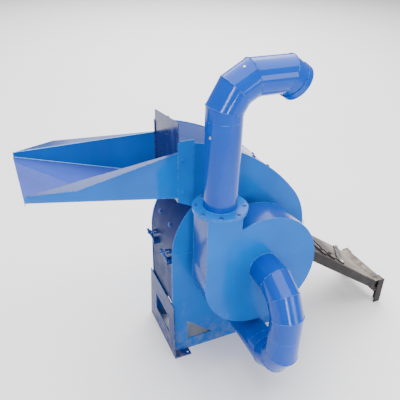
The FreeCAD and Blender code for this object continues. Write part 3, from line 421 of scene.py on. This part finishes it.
def elbow_line():
    """Centre line of the discharge elbow, from the top of the upright pipe to the spout."""
    at = middle("discharge_pipe")
    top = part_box("discharge_pipe")[1].z
    start = Vector((at.x, at.y, top))
    points = [start, start + UP * TOP_RUN]
    for lean, run in ((FOLD, MITRE_RUN), (2 * FOLD, MITRE_RUN), (3 * FOLD, LEVEL_RUN),
                      (3 * FOLD + SPOUT_DROP, SPOUT_RUN)):
        points.append(points[-1] + Vector((math.sin(lean), 0, math.cos(lean))) * run)
    return points


SUCTION_MITRE = 0.085


def suction_line():
    """Centre line of the suction pipe, from the blower forward, down and back to the drum."""
    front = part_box("suction_top_bend")[0].y + PIPE_RADIUS
    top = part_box("blower_front_plate")[1].y
    start = Vector((0, top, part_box("suction_top_bend")[1].z - PIPE_RADIUS))
    low = middle("suction_return_leg").z
    side, drop = SUCTION_MITRE * math.cos(FOLD), SUCTION_MITRE * math.sin(FOLD)
    reach = front + side + drop
    upper = [(reach, start.z), (reach - side, start.z - drop), (front, start.z - drop - side)]
    lower = [(front, low + drop + side), (reach - side, low + drop), (reach, low)]
    points = [start] + [Vector((0, y, z)) for y, z in upper + lower]
    return points + [Vector((0, 0, low))]


def mitre_welds(name, line, body):
    def build(bm):
        for before, at, after in zip(line, line[1:], line[2:]):
            weld(bm, mitre_ring(before, at, after, PIPE_RADIUS), MITRE_BEAD, closed=True)
    piece(name, build, BLUE_PIPE, body)


def pipe_welds():
    """Beads at every mitre and where the pipes enter the flange, the casing and the drum."""
    mitre_welds("elbow_welds", elbow_line(), "base")
    mitre_welds("suction_welds", suction_line(), "base")

    def ends(bm):
        end_radius = PIPE_RADIUS + BEAD_OUTSET
        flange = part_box("pipe_flange")[1]
        pipe = middle("discharge_pipe")
        weld(bm, circle(Vector((pipe.x, pipe.y, flange.z)), UP, end_radius), BEAD, True)
        suction = suction_line()
        casing = Vector((0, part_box("blower_front_plate")[0].y, suction[0].z))
        weld(bm, circle(casing, SIDEWAYS, end_radius), BEAD, True)
        weld(bm, circle(suction[-1], SIDEWAYS, end_radius), BEAD, True)
    piece("pipe_end_welds", ends, BLUE, "base")


PAN_HEAD = ((-0.002, 0.0062), (0.0, 0.0062), (0.0018, 0.0058), (0.0030, 0.0040),
            (0.0036, 0.0012))
PIPE_SCREW_HEIGHT = 1.310
PIPE_SCREW_WAY = Vector((-0.94, -0.35, 0))
ELBOW_SCREW_SHIFT = Vector((-0.018, 0, -0.010))
ELBOW_SCREW_WAY = Vector((-0.47, -0.35, 0.81))


def screws():
    """Pan-head screws on the left of the pipe and of the elbow."""
    pipe = middle("discharge_pipe")
    places = ((Vector((pipe.x, pipe.y, PIPE_SCREW_HEIGHT)), PIPE_SCREW_WAY),
              (elbow_line()[3] + ELBOW_SCREW_SHIFT, ELBOW_SCREW_WAY))

    def build(bm):
        for centre, way in places:
            way = way.normalized()
            turned(bm, centre + way * PIPE_RADIUS, way, PAN_HEAD, 20)
    piece("pipe_screws", build, ZINC, "base")


# Blower casing -------------------------------------------------------------------------------

TOWER_OFFSET = 0.014


def casing_welds():
    """The bead round the casing's outlet tower, under its flange."""
    low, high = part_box("blower_scroll")
    right = 2 * middle("discharge_pipe").x - low.x - TOWER_OFFSET
    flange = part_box("outlet_flange")[0].z

    def build(bm):
        corners = [Vector((x, y, flange)) for x, y in
                   ((low.x, low.y), (right, low.y), (right, high.y), (low.x, high.y))]
        weld(bm, corners, BEAD, closed=True)
    piece("casing_welds", build, BLUE, "base")


# Housing details -----------------------------------------------------------------------------

def washer(bm, at, axis, bore, outer, thick):
    """A flat ring with a bevelled outer edge; bore and outer are radii."""
    first, second = frame_on(axis)
    axis = axis.normalized()
    soft = thick * 0.25
    profile = [(0, bore), (thick, bore), (thick, outer - soft), (thick - soft, outer), (0, outer)]
    steps = 28
    rings = []
    for k in range(steps):
        a = 2 * math.pi * k / steps
        out = first * math.cos(a) + second * math.sin(a)
        rings.append([at + axis * along + out * radius for along, radius in profile])
    skin(bm, rings, closed=True)


FLANGE_BOLTS = 8
FLANGE_PITCH = 0.106
FLANGE_WASHER = (0.0045, 0.0100, 0.0012)
COVER_WASHER = (0.0055, 0.0125, 0.0015)


def flange_washers():
    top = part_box("pipe_flange")[1].z
    pipe = middle("discharge_pipe")

    def build(bm):
        for index in range(FLANGE_BOLTS):
            a = 2 * math.pi * (index + 0.5) / FLANGE_BOLTS
            x = pipe.x + FLANGE_PITCH * math.cos(a)
            y = pipe.y + FLANGE_PITCH * math.sin(a)
            washer(bm, Vector((x, y, top)), UP, *FLANGE_WASHER)
    piece("flange_washers", build, BLUE_BOLT, "base")


AXIS = Vector((0, 0, 0.643))
RIM_RADIUS = 0.365
HOOD_CENTRE = Vector((-0.462, 0, 0.282))
HOOD_RADIUS = 0.951
LINER_BOLTS = (AXIS, RIM_RADIUS, (20, 160), (0.090, 0.225))
HOOD_BOLTS = (HOOD_CENTRE, HOOD_RADIUS, (48.7, 55), (0.075, 0.225))


def cover_washers():
    def build(bm):
        for centre, radius, angles, rows in (LINER_BOLTS, HOOD_BOLTS):
            for degrees in angles:
                a = math.radians(degrees)
                way = Vector((math.cos(a), 0, math.sin(a)))
                for y in rows:
                    at = centre + way * radius + SIDEWAYS * y
                    washer(bm, at, way, *COVER_WASHER)
    piece("cover_washers", build, BLUE_BOLT, "cover")


RIVET_DOME = ((-0.001, 0.0085), (0.0, 0.0085), (0.0022, 0.0078), (0.0042, 0.0052),
              (0.0052, 0.0018))
RIVET_INSET = 0.023
RIVET_HEIGHTS = (1.144, 0.988)


def strip_rivets():
    """Two domed rivets in each side strip of the throat."""
    low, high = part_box("throat_strips")

    def build(bm):
        for y, way in ((low.y, -SIDEWAYS), (high.y, SIDEWAYS)):
            for z in RIVET_HEIGHTS:
                turned(bm, Vector((low.x + RIVET_INSET, y, z)), way, RIVET_DOME, 24)
    piece("strip_rivets", build, BLUE, "cover")


CREASE_BEAD = 0.0022
SHEET_INSET = 0.0025
THROAT_INSET = 0.002
NEAR_CREASE_FOOT = 0.963
FAR_CREASE_FOOT = 0.948
FAR_CREASE_DROP = 0.024
FAR_LIP_MOUTH = 1.118


def chute_welds():
    """Beads along the creases between the chute's floor and walls, and along the far lip."""
    low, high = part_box("chute_floor")
    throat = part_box("gate_guides")[0].x - THROAT_INSET
    near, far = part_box("cover_front_plate")[0].y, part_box("cover_back_plate")[1].y
    far_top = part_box("chute_far_wall")[1].z
    mouth, near_mouth, far_mouth = low.x + SHEET_INSET, low.y + SHEET_INSET, high.y - SHEET_INSET

    def build(bm):
        for start, end in (
                ((throat, near, NEAR_CREASE_FOOT), (mouth, near_mouth, high.z)),
                ((throat, far, FAR_CREASE_FOOT), (mouth, far_mouth, high.z - FAR_CREASE_DROP)),
                ((throat, far, far_top), (mouth, far_mouth, FAR_LIP_MOUTH))):
            weld(bm, [Vector(start), Vector(end)], CREASE_BEAD)
    # The beads carry a pale blue painted highlight.
    piece("chute_welds", build, BLUE_CREASE_HIGHLIGHT, "cover")


STITCH_BEAD = 0.0016
STITCH_STEPS = 6
RIM_STITCHES = ((AXIS, RIM_RADIUS, (6, 30), 3), (AXIS, RIM_RADIUS, (141, 174), 3),
                (HOOD_CENTRE, HOOD_RADIUS, (41, 80), 7))


def rim_welds():
    """Stitches that join the cover's rim and hood to its two end plates."""
    def build(bm):
        for y in (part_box("cover_front_plate")[1].y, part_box("cover_back_plate")[0].y):
            for centre, radius, (start, end), count in RIM_STITCHES:
                pitch = (end - start) / count
                for k in range(count):
                    a0 = math.radians(start + pitch * (k + 0.2))
                    a1 = math.radians(start + pitch * (k + 0.6))
                    turns = [a0 + (a1 - a0) * i / STITCH_STEPS for i in range(STITCH_STEPS + 1)]
                    arc = [centre + SIDEWAYS * y + Vector((math.cos(a), 0, math.sin(a))) * radius
                           for a in turns]
                    weld(bm, arc, STITCH_BEAD)
    piece("rim_welds", build, BLUE, "cover")


STAND_BEAD = 0.0018
STAND_BEAD_FOOT = 0.010
STAND_BEAD_TOP = 0.004
FOOT_TOP = 0.0065
FOOT_BEAD_LENGTH = 0.085
FOOT_BEAD_SKEW = 0.0005


def stand_welds():
    """Upright beads where the side panels meet the end plates, and one along each foot."""
    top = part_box("stand_side_panels")[1].z - STAND_BEAD_TOP
    front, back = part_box("lower_front_plate")[0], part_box("lower_back_plate")[1]

    def build(bm):
        for x in (front.x, back.x):
            for y in (front.y, back.y):
                weld(bm, [Vector((x, y, STAND_BEAD_FOOT)), Vector((x, y, top))], STAND_BEAD)
                inwards = FOOT_BEAD_LENGTH if x < 0 else -FOOT_BEAD_LENGTH
                skew = -FOOT_BEAD_SKEW if y == front.y else FOOT_BEAD_SKEW
                weld(bm, [Vector((x, y, FOOT_TOP)), Vector((x + inwards, y + skew, FOOT_TOP))],
                     STAND_BEAD)
    piece("stand_welds", build, BLUE_STAND_SHADED, "base")


RAIL_BEAD = 0.002
RAIL_THICKNESS = 0.006
PLATE_BEAD = (0.486, 0.540)
BEAM_BEAD = (0.112, 0.166)


def motor_frame_welds():
    """Upright beads at both ends of the motor frame's two side rails."""
    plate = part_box("motor_mount_plate")[1].x
    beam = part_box("motor_outer_beam")[0].x
    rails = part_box("motor_side_rails")

    def build(bm):
        for y in (rails[0].y, rails[1].y - RAIL_THICKNESS):
            for x, (foot, top) in ((plate, PLATE_BEAD), (beam, BEAM_BEAD)):
                weld(bm, [Vector((x, y, foot)), Vector((x, y, top))], RAIL_BEAD)
    piece("motor_frame_welds", build, DARK, "base")


# Stage ---------------------------------------------------------------------------------------

FLOOR_HALF = 14.0
FLOOR_GAP = 0.0006
FLOOR_WHITE = (0.93, 0.93, 0.935)


def floor_paint():
    """Near-white matt floor with a faint cloud and grain."""
    n = Nodes("floor_white")
    cloud = n.ramp(n.noise(1.5), 0.3, 0.7)
    tone = n.mix(cloud, rgb(*FLOOR_WHITE), rgb(*[c * 0.985 for c in FLOOR_WHITE]))
    return n.finish(tone, 0.7, n.relief([(n.noise(40.0), 0.02, 0.001)]))


def floor():
    mesh = bpy.data.meshes.new("floor")
    half = FLOOR_HALF
    corners = [(-half, -half, 0), (half, -half, 0), (half, half, 0), (-half, half, 0)]
    mesh.from_pydata(corners, [], [(0, 1, 2, 3)])
    mesh.materials.append(floor_paint())
    obj = bpy.data.objects.new("floor", mesh)
    obj.location.z = -FLOOR_GAP
    bpy.context.scene.collection.objects.link(obj)


WHITE = (1, 1, 1)
WINDOW = (1, 0.99, 0.97)
DAYLIGHT = (1, 0.99, 0.98)


def area_light(name, at, target, wide, high, power, colour):
    data = bpy.data.lights.new(name, "AREA")
    data.shape = "RECTANGLE"
    data.size, data.size_y = wide, high
    data.energy = power
    data.color = colour
    lamp = bpy.data.objects.new(name, data)
    lamp.location = at
    lamp.visible_camera = False
    lamp.rotation_euler = (Vector(target) - Vector(at)).to_track_quat("-Z", "Y").to_euler()
    bpy.context.scene.collection.objects.link(lamp)


def lights():
    """Two small windows that mirror in the pipes, a soft key, and wide lights for the floor."""
    area_light("left_window", (-1.64, -2.04, 2.14), (-0.22, -0.21, 1.46), 0.45, 0.9, 26, WINDOW)
    area_light("front_window", (-0.60, -2.77, 1.11), (-0.03, -0.49, 0.60), 0.40, 0.8, 24, WINDOW)
    area_light("key", (2.2, -4.4, 2.0), (0, 0, 0.7), 2.0, 2.0, 85, WHITE)
    area_light("top", (-0.1, 0.3, 5.0), (0, 0.3, 0), 6.0, 6.0, 560, DAYLIGHT)
    area_light("back", (3.0, 7.5, 6.0), (3.2, 8.0, 0), 9.0, 9.0, 1500, WHITE)
    world = bpy.data.worlds.new("studio")
    world.use_nodes = True
    background = world.node_tree.nodes["Background"]
    background.inputs["Color"].default_value = rgb(0.95, 0.96, 1.0)
    background.inputs["Strength"].default_value = 0.42
    bpy.context.scene.world = world


CAMERA_AT = (-1.0113, -1.7227, 2.0292)
CAMERA_RIGHT = (0.91480, -0.40344, 0.01940)
CAMERA_FORWARD = (0.35766, 0.78680, -0.50301)


def camera():
    """The photographer's place: left of the mill and in front, looking down on it."""
    data = bpy.data.cameras.new("camera")
    data.sensor_width = 36.0
    data.lens = 43.2
    data.clip_end = 60.0
    obj = bpy.data.objects.new("camera", data)
    right = Vector(CAMERA_RIGHT).normalized()
    forward = Vector(CAMERA_FORWARD).normalized()
    up = right.cross(forward).normalized()
    turn = Matrix((right, up, -forward)).transposed().to_4x4()
    obj.matrix_world = Matrix.Translation(CAMERA_AT) @ turn
    bpy.context.scene.collection.objects.link(obj)
    bpy.context.scene.camera = obj


# Assembly ------------------------------------------------------------------------------------

paint_frame()
pipe_welds()
screws()
casing_welds()
flange_washers()
cover_washers()
strip_rivets()
chute_welds()
rim_welds()
stand_welds()
motor_frame_welds()
floor()
lights()
camera()
